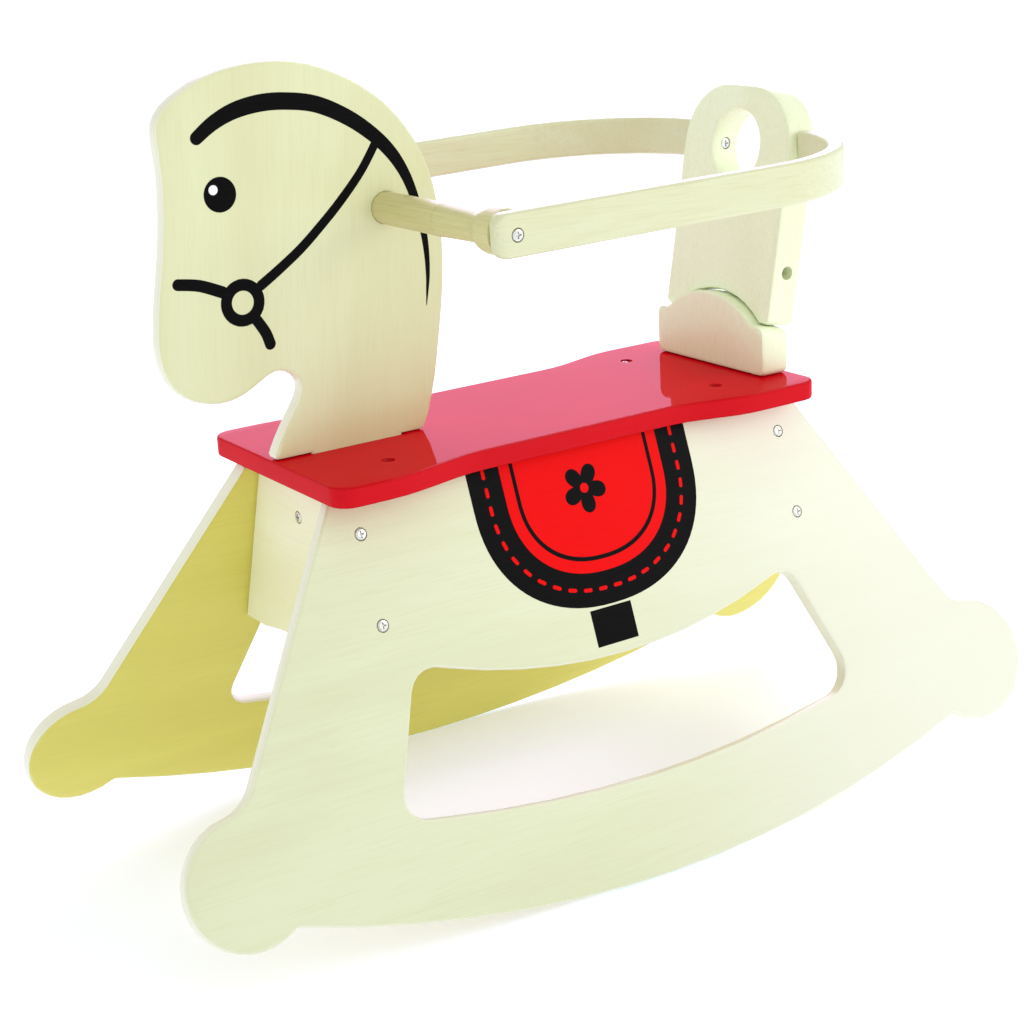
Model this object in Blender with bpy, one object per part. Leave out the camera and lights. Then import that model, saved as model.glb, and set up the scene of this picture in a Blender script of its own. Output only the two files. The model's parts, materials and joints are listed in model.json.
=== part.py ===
"""A toddler's wooden rocking horse with a safety ring round the rider.

All lengths are in metres. The horse is modelled in the seat's own frame: +X towards the nose, +Y the
horse's left, +Z up, with z = 0 in the plane the side panels are set out from, just under the seat's top face,
and x = 0 above the middle of the rocker arcs. Every piece hangs on the empty "horse", which tips that frame
nose down to the angle at which the horse comes to rest and puts the middle of its footprint at the origin.
"""

import math

import bpy
from mathutils import Matrix, Vector
from mathutils.geometry import delaunay_2d_cdt

# Driving dimensions.
GAP = 0.0003                    # between two pieces that touch
BOARD = 0.012                   # plywood of the sides, aprons, head and rails
THICK_BOARD = 0.027             # solid wood of the leaning backrest board
EDGE = 0.003                    # rounding along plywood edges
THICK_EDGE = 0.0035             # rounding along the thick boards' edges
REST_PITCH = math.radians(0.772)  # nose down, where the horse balances on its rockers

# Round stretches are cut into chords that stay this close to the true arc.
CHORD_ERROR = 0.00025
LONGEST_STEP = math.radians(30)

# Side panels. A depth on a panel is measured down its slope from z = 0.
SPLAY = math.radians(19.5)
PANEL_HALF_TOP = 0.0637         # half the width over the panels' outer faces, at z = 0
LEG_FRONT_TOP = 0.2175
LEG_REAR_TOP = 0.174
LEG_SLOPE = 0.598
ROCKER_RADIUS = 0.966
ROCKER_DROP = 0.3343
FRONT_STOP = (0.3436, 0.243)
FRONT_STOP_RADIUS = 0.0452
REAR_STOP = (-0.309, 0.2591)
REAR_STOP_RADIUS = 0.0485
LEG_FILLET = 0.028
NOTCH_FILLET = 0.004
WINDOW = (
    (0.1898, 0.1358, 0.020),
    (0.0212, 0.1938, 0.450),
    (-0.1428, 0.1421, 0.016),
    (-0.1842, 0.2450, 0.022),
    (0.0203, 0.2760, 1.000),
    (0.2266, 0.2362, 0.017),
)

# Seat board.
SEAT_TOP = 0.0025
SEAT_BOARD = 0.015              # its thickness
SEAT_UNDERSIDE = SEAT_TOP - SEAT_BOARD
SEAT_FRONT = 0.232
SEAT_REAR = -0.189
SEAT_FRONT_HALF = 0.0975
SEAT_REAR_HALF = 0.0975
SEAT_WAIST_HALF = 0.082
SEAT_EDGE = 0.002

# Aprons, between the side panels.
FRONT_APRON_FACE = 0.2144
REAR_APRON_REAR_FACE = -0.1703
APRON_BOTTOM = -0.1465
APRON_ARCH_HALF = 0.072
APRON_ARCH_RISE = 0.007

# Head and its tang, which goes down through the seat and meets the front apron.
HEAD_FOOT = SEAT_TOP + GAP
TANG_FRONT = FRONT_APRON_FACE - BOARD - GAP
TANG_REAR = 0.128
TANG_BOTTOM = -0.066
HEAD_OUTLINE = (
    (0.2312, 0.0070), (0.2263, 0.0165), (0.2171, 0.0312), (0.2098, 0.0420), (0.2067, 0.0495),
    (0.2077, 0.0564), (0.2128, 0.0624), (0.2204, 0.0654), (0.2279, 0.0644), (0.2363, 0.0601),
    (0.2481, 0.0540), (0.2600, 0.0508), (0.2740, 0.0515), (0.2872, 0.0557), (0.2975, 0.0630),
    (0.3047, 0.0735), (0.3082, 0.0871), (0.3087, 0.1014), (0.3052, 0.1264), (0.2998, 0.1548),
    (0.2959, 0.1832), (0.2945, 0.2078), (0.2955, 0.2290), (0.2945, 0.2420), (0.2875, 0.2520),
    (0.2745, 0.2605), (0.2590, 0.2680), (0.2400, 0.2730), (0.2190, 0.2748), (0.2015, 0.2741),
    (0.1815, 0.2705), (0.1609, 0.2628), (0.1390, 0.2508), (0.1216, 0.2367), (0.1084, 0.2212),
    (0.0985, 0.2057), (0.0920, 0.1909), (0.0878, 0.1757), (0.0846, 0.1547), (0.0837, 0.1338),
    (0.0848, 0.1123), (0.0874, 0.0916), (0.0910, 0.0709), (0.0970, 0.0394), (0.1045, 0.0140),
)
HEAD_REAR_TOE = 0.112

# Handle, across the head.
HANDLE_X = 0.1290
HANDLE_Z = 0.1664
HANDLE_RADIUS = 0.0115
HANDLE_HALF = 0.084
TENON_RADIUS = 0.006
TENON_LENGTH = 0.018
HANDLE_WAIST_RADIUS = 0.0105
HANDLE_BELL_RADIUS = 0.0158

# Rails, swept round a plan that is straight beside the rider and bends round to the backrest.
RAIL_HEIGHT = 0.0297
RAIL_FRONT = 0.1442
RAIL_FRONT_HALF = 0.165         # to the rail's middle line
RAIL_BOW = math.radians(1.07)   # how far the straight stretch opens towards the rear
RAIL_BEND_RADIUS = 0.115
RAIL_BEND_START = -0.088
RAIL_TILT = math.radians(0.95)  # the ring rises to the rear
RAIL_END_CORNER = 0.008

# Backrest board, leaning back, and the block under it.
RECLINE = math.radians(10.4)
BACK_HALF = 0.0635
BACK_FOOT = Vector((-0.1664, 0.0, 0.0423))
BACK_HEIGHT = 0.1788
BACK_TOP_RADIUS = 0.048
BACK_HOLE_HEIGHT = 0.1323
BACK_HOLE_RADIUS = 0.0275
ARCH_HALF = 0.052
ARCH_RISE = 0.0196
BLOCK_FRONT = -0.159
BLOCK_REAR = -0.1855
BLOCK_HALF = 0.066
BLOCK_CLEARANCE = 0.0008        # between the dome and the arch, measured up the board

# Fasteners.
SCREW_SIDES = 12
SCREW_HEAD_RADIUS = 0.0044
SCREW_HEAD_HEIGHT = 0.0026
SCREW_RADIUS = 0.002
SCREW_PROUD = 0.0005
SCREW_TIP = 0.003
HEAD_CLEARANCE = 0.0005
PANEL_SCREW_DEPTHS = (0.0405, 0.1045)
PANEL_SCREW_LENGTH = 0.045
FRONT_PANEL_SCREW_X = 0.2070
REAR_PANEL_SCREW_X = -0.1643
APRON_SCREW_Z = -0.043
APRON_SCREW_LENGTH = 0.045
SEAT_SCREW_X = (0.170, -0.120)
SEAT_SCREW_LENGTH = 0.036
SEAT_SCREW_SINK = 0.0026        # from the seat's top to the underside of the head
RAIL_FRONT_SCREW_LENGTH = 0.030
RAIL_REAR_SCREW_LENGTH = 0.049
BOLT_RADIUS = 0.003
BOLT_HEAD_RADIUS = 0.0055
BOLT_HEAD_HEIGHT = 0.0035
BOLT_LENGTH = 0.100
BOLT_HALF_SPACING = 0.032
BOLT_SINK = 0.003               # how deep the washer's seat lies in the seat board
WASHER_RADIUS = 0.008
WASHER_THICKNESS = 0.0012
BARREL_RADIUS = 0.005
BARREL_LENGTH = 0.014
BARREL_HEIGHT = 0.080
PEG_RADIUS = 0.004
PEG_HALF_SPACING = 0.050
PEG_BOTTOM = -0.0075
PEG_TOP = 0.020
BOLT_NOTCH_HALF = 0.012
BOLT_NOTCH_DEPTH = 0.013

# Colours.
BIRCH = (0.80, 0.76, 0.58)
BEECH = (0.74, 0.66, 0.47)
RAIL_WOOD = (0.79, 0.74, 0.56)
HANDLE_WOOD = (0.74, 0.62, 0.36)
RED = (0.62, 0.01, 0.02)
STEEL = (0.62, 0.62, 0.60)


# ---------------------------------------------------------------- plane curves

def steps_for(radius, angle):
    """The number of chords that an arc needs."""
    fine = 2 * math.acos(1 - CHORD_ERROR / radius)
    return max(1, math.ceil(abs(angle) / min(fine, LONGEST_STEP)))


def arc(centre, start, end, turn):
    """Points along a circle from start to end, anticlockwise where turn is +1."""
    sx, sy = start[0] - centre[0], start[1] - centre[1]
    ex, ey = end[0] - centre[0], end[1] - centre[1]
    radius = math.hypot(sx, sy)
    first = math.atan2(sy, sx)
    sweep = (math.atan2(ey, ex) - first) * turn % (2 * math.pi) * turn
    count = steps_for(radius, sweep)
    points = []
    for i in range(count + 1):
        angle = first + sweep * i / count
        points.append((centre[0] + radius * math.cos(angle), centre[1] + radius * math.sin(angle)))
    return points


def circle(centre, radius):
    """A whole circle."""
    count = steps_for(radius, 2 * math.pi)
    angles = (2 * math.pi * i / count for i in range(count))
    return [(centre[0] + radius * math.cos(a), centre[1] + radius * math.sin(a)) for a in angles]


def rounded(corners):
    """A closed polygon of (x, y, radius) corners with each corner turned by an arc."""
    points = []
    for i, (x, y, radius) in enumerate(corners):
        corner = Vector((x, y))
        if radius == 0:
            points.append((x, y))
            continue
        back = (Vector(corners[i - 1][:2]) - corner).normalized()
        ahead = (Vector(corners[(i + 1) % len(corners)][:2]) - corner).normalized()
        half = back.angle(ahead) / 2
        reach = radius / math.tan(half)
        centre = corner + (back + ahead).normalized() * (radius / math.sin(half))
        turn = 1 if back.cross(ahead) < 0 else -1
        points += arc(centre, corner + back * reach, corner + ahead * reach, turn)
    return points


def smooth(knots, steps):
    """An open curve through the knots, with each knot's tangent along its neighbours."""
    points = []
    knots = [Vector(k) for k in knots]
    for i in range(len(knots) - 1):
        a, b = knots[i], knots[i + 1]
        before = knots[i - 1] if i else a
        after = knots[i + 2] if i + 2 < len(knots) else b
        length = (b - a).length
        leave = (b - before) * (length / max((b - a).length + (a - before).length, 1e-9))
        arrive = (after - a) * (length / max((b - a).length + (after - b).length, 1e-9))
        for j in range(steps):
            t = j / steps
            points.append(
                a * (2 * t**3 - 3 * t**2 + 1)
                + leave * (t**3 - 2 * t**2 + t)
                + b * (3 * t**2 - 2 * t**3)
                + arrive * (t**3 - t**2)
            )
    points.append(knots[-1])
    return [tuple(p) for p in points]


def area(loop):
    """The loop's signed area, positive where it runs anticlockwise."""
    pairs = zip(loop, loop[1:] + loop[:1])
    return sum(a[0] * b[1] - b[0] * a[1] for a, b in pairs) / 2


def turned(loop, sign):
    """The loop, reversed where needed so that its area has the sign."""
    return loop if area(loop) * sign > 0 else loop[::-1]


def inset(loop, distance):
    """The loop moved to its left, into the material."""
    moved = []
    for i, point in enumerate(loop):
        before = (Vector(point) - Vector(loop[i - 1])).normalized()
        after = (Vector(loop[(i + 1) % len(loop)]) - Vector(point)).normalized()
        normal = Vector((-before.y - after.y, before.x + after.x)).normalized()
        stretch = max(normal.dot(Vector((-before.y, before.x))), 0.3)
        moved.append(tuple(Vector(point) + normal * (distance / stretch)))
    return moved


# ---------------------------------------------------------------- solids

def plate(outline, low, high, edge, holes=(), edge_steps=2):
    """A flat board: the outline in x and y, from z = low to z = high, with its edges rounded."""
    loops = [turned(outline, 1)] + [turned(hole, -1) for hole in holes]
    quarter = [math.pi / 2 * i / edge_steps for i in range(edge_steps + 1)]
    levels = [(low + edge * (1 - math.cos(a)), edge * (1 - math.sin(a))) for a in quarter]
    levels += [(high - edge * (1 - math.cos(a)), edge * (1 - math.sin(a))) for a in reversed(quarter)]
    verts, faces, rings = [], [], []
    for loop in loops:
        for z, amount in levels:
            rings.append((len(verts), len(loop)))
            verts += [(x, y, z) for x, y in inset(loop, amount)]
    for first in range(0, len(rings), len(levels)):
        for k in range(first, first + len(levels) - 1):
            faces += band(rings[k][0], rings[k + 1][0], rings[k][1])
    faces += [face[::-1] for face in cap(verts, rings[0::len(levels)])]
    faces += cap(verts, rings[len(levels) - 1::len(levels)])
    return verts, faces


def cap(verts, rings):
    """Triangles between the outer ring and the holes' rings, facing up."""
    index = [start + i for start, count in rings for i in range(count)]
    edges = []
    for start, count in rings:
        base = index.index(start)
        edges += [(base + i, base + (i + 1) % count) for i in range(count)]
    flat = [Vector(verts[i][:2]) for i in index]
    filled = delaunay_2d_cdt(flat, edges, [], 1, 1e-7)
    sources = filled[3]
    triangles = [[sources[i][0] for i in triangle] for triangle in filled[2]]
    holes = [[verts[start + i] for i in range(count)] for start, count in rings[1:]]
    faces = []
    for triangle in triangles:
        middle = sum((flat[i] for i in triangle), Vector((0.0, 0.0))) / 3
        if not any(inside(middle, hole) for hole in holes):
            faces.append(tuple(index[i] for i in triangle))
    return faces


def inside(point, loop):
    """Whether a loop goes round the point."""
    crossings = 0
    for a, b in zip(loop, loop[1:] + loop[:1]):
        if (a[1] > point.y) != (b[1] > point.y):
            reach = a[0] + (point.y - a[1]) * (b[0] - a[0]) / (b[1] - a[1])
            crossings += reach > point.x
    return crossings % 2 == 1


def band(lower, upper, count):
    """The quads between two rings of the same length."""
    return [
        (lower + i, lower + (i + 1) % count, upper + (i + 1) % count, upper + i) for i in range(count)
    ]


def lathe(profile, sides):
    """A turned solid about z. The profile lists (radius, z) from its lowest end to its highest."""
    verts, faces = [], []
    for radius, z in profile:
        for i in range(sides):
            angle = 2 * math.pi * i / sides
            verts.append((radius * math.cos(angle), radius * math.sin(angle), z))
    for k in range(len(profile) - 1):
        faces += band(k * sides, (k + 1) * sides, sides)
    faces.append(tuple(range(sides))[::-1])
    faces.append(tuple(range((len(profile) - 1) * sides, len(profile) * sides)))
    return verts, faces


def ring_solid(inner, outer, low, high, sides):
    """A flat ring about z."""
    corners = ((inner, low), (outer, low), (outer, high), (inner, high))
    verts, faces = [], []
    for radius, z in corners:
        for i in range(sides):
            angle = 2 * math.pi * i / sides
            verts.append((radius * math.cos(angle), radius * math.sin(angle), z))
    for k in range(4):
        faces += band(k * sides, (k + 1) % 4 * sides, sides)
    return verts, faces


# ---------------------------------------------------------------- objects

def clear_scene():
    for obj in list(bpy.data.objects):
        bpy.data.objects.remove(obj, do_unlink=True)


def finish_of(name, colour, roughness, metallic):
    material = bpy.data.materials.new(name)
    material.use_nodes = True
    shader = material.node_tree.nodes["Principled BSDF"]
    shader.inputs["Base Color"].default_value = (*colour, 1.0)
    shader.inputs["Roughness"].default_value = roughness
    shader.inputs["Metallic"].default_value = metallic
    return material


def mesh_of(name, solid):
    mesh = bpy.data.meshes.new(name)
    mesh.from_pydata(solid[0], [], solid[1])
    mesh.shade_smooth()
    mesh.set_sharp_from_angle(angle=math.radians(35))
    return mesh


def place(name, mesh, matrix, horse):
    obj = bpy.data.objects.new(name, mesh)
    bpy.context.scene.collection.objects.link(obj)
    obj.parent = horse
    obj.location = matrix.to_translation()
    obj.rotation_euler = matrix.to_euler()
    return obj


def piece(name, solid, matrix, horse, colour, roughness=0.45, metallic=0.0):
    mesh = mesh_of(name, solid)
    mesh.materials.append(finish_of(name, colour, roughness, metallic))
    return place(name, mesh, matrix, horse)


def cutter(name, solid, matrix, horse):
    obj = place(name, mesh_of(name, solid), matrix, horse)
    obj.hide_render = True
    obj.display_type = "WIRE"
    return obj


def cut(pieces, tool):
    for obj in pieces:
        modifier = obj.modifiers.new(tool.name, "BOOLEAN")
        modifier.operation = "DIFFERENCE"
        modifier.solver = "EXACT"
        modifier.object = tool


def frame(origin, x_axis, z_axis):
    """A placement from its origin, its x axis and its z axis."""
    z_axis = Vector(z_axis).normalized()
    x_axis = Vector(x_axis).normalized()
    y_axis = z_axis.cross(x_axis).normalized()
    matrix = Matrix((x_axis, y_axis, z_axis)).transposed().to_4x4()
    matrix.translation = Vector(origin)
    return matrix


# ---------------------------------------------------------------- side panels

def panel_up(side):
    """The direction up a panel's slope. side is +1 for the horse's left."""
    return Vector((0.0, -side * math.sin(SPLAY), math.cos(SPLAY)))


def panel_out(side):
    return Vector((0.0, side * math.cos(SPLAY), math.sin(SPLAY)))


def panel_point(side, x, depth, inward=0.0):
    """A point of a panel, depth down its slope and inward from its outer face."""
    top = Vector((x, side * PANEL_HALF_TOP, 0.0))
    return top - panel_up(side) * depth - panel_out(side) * inward


def foot(leg_top, stop, stop_radius):
    """The front leg's outline from the end of its straight edge, round the stop, to the rocker arc."""
    along = Vector((LEG_SLOPE, 1.0)).normalized()
    outward = Vector((along.y, -along.x))
    stop = Vector(stop)
    from_top = stop - Vector((leg_top, 0.0))
    beside = outward.dot(from_top) - LEG_FILLET
    reach = math.sqrt((LEG_FILLET + stop_radius) ** 2 - beside**2)
    fillet = Vector((leg_top, 0.0)) + outward * LEG_FILLET + along * (along.dot(from_top) - reach)
    leg_end = fillet - outward * LEG_FILLET
    stop_start = stop + (fillet - stop).normalized() * stop_radius

    rocker = Vector((0.0, ROCKER_DROP - ROCKER_RADIUS))
    span = stop - rocker
    far, near = ROCKER_RADIUS + NOTCH_FILLET, stop_radius + NOTCH_FILLET
    ahead = (span.length**2 + far**2 - near**2) / (2 * span.length)
    aside = math.sqrt(far**2 - ahead**2)
    direction = span.normalized()
    notch = rocker + direction * ahead + Vector((-direction.y, direction.x)) * aside
    stop_end = stop + (notch - stop).normalized() * stop_radius
    arc_start = rocker + (notch - rocker).normalized() * ROCKER_RADIUS
    return (
        arc(fillet, leg_end, stop_start, -1)
        + arc(stop, stop_start, stop_end, 1)[1:]
        + arc(notch, stop_end, arc_start, -1)[1:]
    )


def panel_outline():
    """A side panel's outline as (x, height up its slope)."""
    top = -SEAT_UNDERSIDE / math.cos(SPLAY) + GAP
    front = foot(LEG_FRONT_TOP, FRONT_STOP, FRONT_STOP_RADIUS)
    mirrored = foot(LEG_REAR_TOP, (-REAR_STOP[0], REAR_STOP[1]), REAR_STOP_RADIUS)
    rear = [(-x, depth) for x, depth in reversed(mirrored)]
    rocker = arc((0.0, ROCKER_DROP - ROCKER_RADIUS), front[-1], rear[0], 1)
    loop = [(LEG_FRONT_TOP + LEG_SLOPE * top, top)] + front + rocker[1:-1] + rear
    loop.append((-LEG_REAR_TOP - LEG_SLOPE * top, top))
    return [(x, -depth) for x, depth in loop]


def side_panel(side, horse):
    """One side. Its plate lies on the outer face's plane and goes inward."""
    name = "side_panel_left" if side > 0 else "side_panel_right"
    window = [(x, -depth) for x, depth in rounded(WINDOW)]
    low, high = (0.0, BOARD) if side > 0 else (-BOARD, 0.0)
    solid = plate(panel_outline(), low, high, EDGE, holes=[window])
    across = Vector((1.0, 0.0, 0.0)).cross(panel_up(side))
    return piece(name, solid, frame(panel_point(side, 0.0, 0.0), (1, 0, 0), across), horse, BIRCH)


# ---------------------------------------------------------------- seat, aprons and head

def seat_outline():
    """The seat seen from above: wide ends, and a narrower waist between soft shoulders."""
    waist, front, rear = SEAT_WAIST_HALF, SEAT_FRONT_HALF, SEAT_REAR_HALF
    half = [
        (SEAT_FRONT, front, 0.015),
        (0.178, front, 0.110),
        (0.118, waist, 0.110),
        (-0.068, waist, 0.100),
        (-0.118, rear, 0.100),
        (SEAT_REAR, rear, 0.014),
    ]
    other = [(x, -y, radius) for x, y, radius in reversed(half)]
    return rounded(half + other)


def seat_board(horse):
    slot = [
        (TANG_FRONT + GAP, BOARD / 2 + GAP),
        (TANG_REAR - GAP, BOARD / 2 + GAP),
        (TANG_REAR - GAP, -BOARD / 2 - GAP),
        (TANG_FRONT + GAP, -BOARD / 2 - GAP),
    ]
    solid = plate(seat_outline(), SEAT_UNDERSIDE, SEAT_TOP, SEAT_EDGE)
    seat = piece("seat_board", solid, Matrix(), horse, RED, roughness=0.12)
    tool = prism(slot, SEAT_UNDERSIDE - EDGE, SEAT_TOP + EDGE)
    cut([seat], cutter("seat_slot", tool, Matrix(), horse))
    return seat


def prism(outline, low, high):
    """A plain prism with sharp edges, for cutting."""
    loop = turned(outline, 1)
    count = len(loop)
    verts = [(x, y, low) for x, y in loop] + [(x, y, high) for x, y in loop]
    faces = band(0, count, count)
    faces.append(tuple(range(count))[::-1])
    faces.append(tuple(range(count, 2 * count)))
    return verts, faces


def apron_half_width(z):
    """Half the distance between the panels' inner faces, less the gap."""
    return PANEL_HALF_TOP - z * math.tan(SPLAY) - (BOARD + GAP) / math.cos(SPLAY)


def apron_outline(notches):
    """An apron seen from the front: its ends follow the splay and its lower edge is arched."""
    top = SEAT_UNDERSIDE - GAP
    upper = [(-apron_half_width(top), top)]
    for y in notches:
        floor = top - BOLT_NOTCH_DEPTH
        upper += [(y - BOLT_NOTCH_HALF, top), (y - BOLT_NOTCH_HALF, floor)]
        upper += [(y + BOLT_NOTCH_HALF, floor), (y + BOLT_NOTCH_HALF, top)]
    upper.append((apron_half_width(top), top))
    wide = apron_half_width(APRON_BOTTOM)
    radius = (APRON_ARCH_HALF**2 + APRON_ARCH_RISE**2) / (2 * APRON_ARCH_RISE)
    centre = (0.0, APRON_BOTTOM + APRON_ARCH_RISE - radius)
    arch = arc(centre, (APRON_ARCH_HALF, APRON_BOTTOM), (-APRON_ARCH_HALF, APRON_BOTTOM), 1)
    return upper + [(wide, APRON_BOTTOM)] + arch + [(-wide, APRON_BOTTOM)]


def apron(name, rear_face, notches, horse):
    solid = plate(apron_outline(notches), 0.0, BOARD, 0.0015, edge_steps=1)
    return piece(name, solid, frame((rear_face, 0, 0), (0, 1, 0), (1, 0, 0)), horse, BIRCH)


def head_outline():
    """The head and neck in profile, with square shoulders at the foot and the tang between them."""
    nose_x, nose_z = HEAD_OUTLINE[0]
    radius = nose_z - HEAD_FOOT
    toe = arc((nose_x - radius, nose_z), (nose_x - radius, HEAD_FOOT), (nose_x, nose_z), 1)
    heel = [(HEAD_REAR_TOE - EDGE, HEAD_FOOT + EDGE / 2), (HEAD_REAR_TOE, HEAD_FOOT)]
    tang = rounded((
        (TANG_REAR, HEAD_FOOT, 0.0),
        (TANG_REAR, TANG_BOTTOM, 0.006),
        (TANG_FRONT, TANG_BOTTOM, 0.006),
        (TANG_FRONT, HEAD_FOOT, 0.0),
    ))
    return toe[:-1] + smooth(HEAD_OUTLINE, 2) + heel + tang


def head_panel(horse):
    """The head's plate stands in the xz plane, so its own z runs towards the horse's right."""
    hole = circle((HANDLE_X, HANDLE_Z), HANDLE_RADIUS + GAP)
    solid = plate(head_outline(), -BOARD / 2, BOARD / 2, EDGE, edge_steps=2)
    head = piece("head_panel", solid, frame((0, 0, 0), (1, 0, 0), (0, -1, 0)), horse, BIRCH)
    tool = prism(hole, -BOARD, BOARD)
    cut([head], cutter("handle_hole", tool, frame((0, 0, 0), (1, 0, 0), (0, -1, 0)), horse))
    return head


# ---------------------------------------------------------------- handle and rails

def handle(horse):
    """The bar through the head, with a thinner tenon at each end, and the two turned ends."""
    tip = HANDLE_HALF + TENON_LENGTH
    profile = [
        (TENON_RADIUS - 0.001, -tip), (TENON_RADIUS, -tip + 0.001), (TENON_RADIUS, -HANDLE_HALF),
        (HANDLE_RADIUS, -HANDLE_HALF), (HANDLE_RADIUS, HANDLE_HALF),
        (TENON_RADIUS, HANDLE_HALF), (TENON_RADIUS, tip - 0.001), (TENON_RADIUS - 0.001, tip),
    ]
    sides = steps_for(HANDLE_RADIUS, 2 * math.pi)
    middle = frame((HANDLE_X, 0, HANDLE_Z), (1, 0, 0), (0, 1, 0))
    piece("handle_dowel", lathe(profile, sides), middle, horse, HANDLE_WOOD)
    return [handle_end(side, horse) for side in (1, -1)]


def handle_end(side, horse):
    """A turned end: as thick as the bar, a shallow waist, then a bell that meets the rail."""
    name = "handle_end_left" if side > 0 else "handle_end_right"
    start = HANDLE_HALF + GAP
    end = rail_half(HANDLE_X) - BOARD / 2 - 2 * GAP
    waist, bell = HANDLE_WAIST_RADIUS, HANDLE_BELL_RADIUS
    profile = [
        (HANDLE_RADIUS, start), (HANDLE_RADIUS - 0.0003, start + 0.010), (waist + 0.0003, start + 0.026),
        (waist, start + 0.042), (waist + 0.0006, start + 0.048), (waist + 0.0022, start + 0.0505),
        (bell - 0.0022, start + 0.0535), (bell - 0.0007, start + 0.057), (bell, start + 0.062),
        (bell, end - 0.0015), (bell - 0.0005, end - 0.0004), (bell - 0.0015, end),
    ]
    sides = steps_for(bell, 2 * math.pi)
    matrix = frame((HANDLE_X, 0, HANDLE_Z), (1, 0, 0), (0, side, 0))
    end_piece = piece(name, lathe(profile, sides), matrix, horse, HANDLE_WOOD)
    bore = [(TENON_RADIUS + GAP, start - EDGE), (TENON_RADIUS + GAP, start + TENON_LENGTH + GAP)]
    cut([end_piece], cutter(name + "_bore", lathe(bore, sides), matrix, horse))
    return end_piece


def rail_half(x):
    """Half the distance between the rails' middle lines along their straight stretch."""
    return RAIL_FRONT_HALF + (RAIL_FRONT - x) * math.tan(RAIL_BOW)


def rail_plan():
    """The rail's middle line from above: (point, left-hand normal), from the front end round the bend."""
    stations = []
    straight = Vector((-math.cos(RAIL_BOW), math.sin(RAIL_BOW)))
    first = Vector((RAIL_FRONT, RAIL_FRONT_HALF))
    length = (RAIL_FRONT - RAIL_BEND_START) / math.cos(RAIL_BOW)
    corner = RAIL_END_CORNER
    run = [0.0, corner * 0.12, corner * 0.5, corner] + [length * i / 6 for i in range(1, 7)]
    for distance in run:
        stations.append((first + straight * distance, distance))
    bend_start = first + straight * length
    centre = bend_start - Vector((-straight.y, straight.x)) * -RAIL_BEND_RADIUS
    stop = BACK_HALF + GAP
    sweep = math.pi / 2 + RAIL_BOW - math.asin((stop - centre.y) / RAIL_BEND_RADIUS)
    count = steps_for(RAIL_BEND_RADIUS, sweep)
    start_angle = math.pi / 2 - RAIL_BOW
    for i in range(1, count + 1):
        angle = start_angle + sweep * i / count
        point = centre + Vector((math.cos(angle), math.sin(angle))) * RAIL_BEND_RADIUS
        stations.append((point, length + RAIL_BEND_RADIUS * sweep * i / count))
    return stations


def rail_section(half_height, half_thickness, edge):
    """The rail's cross-section as (across, up), anticlockwise."""
    edge = min(edge, half_thickness * 0.9)
    w, h = half_thickness, half_height
    return rounded(((w, h, edge), (-w, h, edge), (-w, -h, edge), (w, -h, edge)))


def rail(side, horse):
    """A bent rail, swept along its plan and tipped about the handle."""
    name = "rail_left" if side > 0 else "rail_right"
    stations = rail_plan()
    verts, faces = [], []
    for i, (point, distance) in enumerate(stations):
        ahead = stations[min(i + 1, len(stations) - 1)][0] - stations[max(i - 1, 0)][0]
        normal = Vector((-ahead.y, ahead.x)).normalized()
        if i == len(stations) - 1:
            normal = Vector((1.0, 0.0)) * (1 if normal.x > 0 else -1)
        rest = max(RAIL_END_CORNER - distance, 0.0) / RAIL_END_CORNER
        shrink = RAIL_END_CORNER * (1 - math.sqrt(max(1 - rest**2, 0.0)))
        section = rail_section(RAIL_HEIGHT / 2 - shrink, BOARD / 2 - shrink * 0.4, EDGE - shrink * 0.2)
        for across, up in section:
            at = point + normal * across
            verts.append((at.x - HANDLE_X, side * at.y, up))
    ring = len(section)
    for i in range(len(stations) - 1):
        faces += band(i * ring, (i + 1) * ring, ring)
    faces.append(tuple(range(ring))[::-1])
    last = (len(stations) - 1) * ring
    faces.append(tuple(range(last, last + ring)))
    if side < 0:
        faces = [face[::-1] for face in faces]
    matrix = Matrix.Translation((HANDLE_X, 0, HANDLE_Z)) @ Matrix.Rotation(RAIL_TILT, 4, "Y")
    return piece(name, (verts, faces), matrix, horse, RAIL_WOOD)


# ---------------------------------------------------------------- backrest

def back_up():
    return Vector((-math.sin(RECLINE), 0.0, math.cos(RECLINE)))


def back_front():
    return Vector((math.cos(RECLINE), 0.0, math.sin(RECLINE)))


def arch(half, rise, clearance, floor):
    """A shallow arch from (half, floor) over to (-half, floor), lowered by the clearance."""
    radius = (half**2 + rise**2) / (2 * rise)
    centre = (0.0, floor + rise - radius - clearance)
    return arc(centre, (half, floor - clearance), (-half, floor - clearance), 1)


def backrest_board(horse):
    """The leaning board. Its plate's y runs up the board and its z out of the front face."""
    foot_radius = 0.005
    half, top = BACK_HALF, BACK_HEIGHT
    sides = rounded((
        (half, 0.0, foot_radius),
        (half, top, BACK_TOP_RADIUS),
        (-half, top, BACK_TOP_RADIUS),
        (-half, 0.0, foot_radius),
        (0.0, 0.0, 0.0),
    ))
    outline = sides[:-1] + arch(ARCH_HALF, ARCH_RISE, 0.0, 0.0)[::-1]
    hole = circle((0.0, BACK_HOLE_HEIGHT), BACK_HOLE_RADIUS)
    solid = plate(outline, -THICK_BOARD, 0.0, THICK_EDGE, holes=[hole])
    matrix = frame(BACK_FOOT, (0, 1, 0), back_front())
    return piece("backrest_board", solid, matrix, horse, BEECH)


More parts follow.
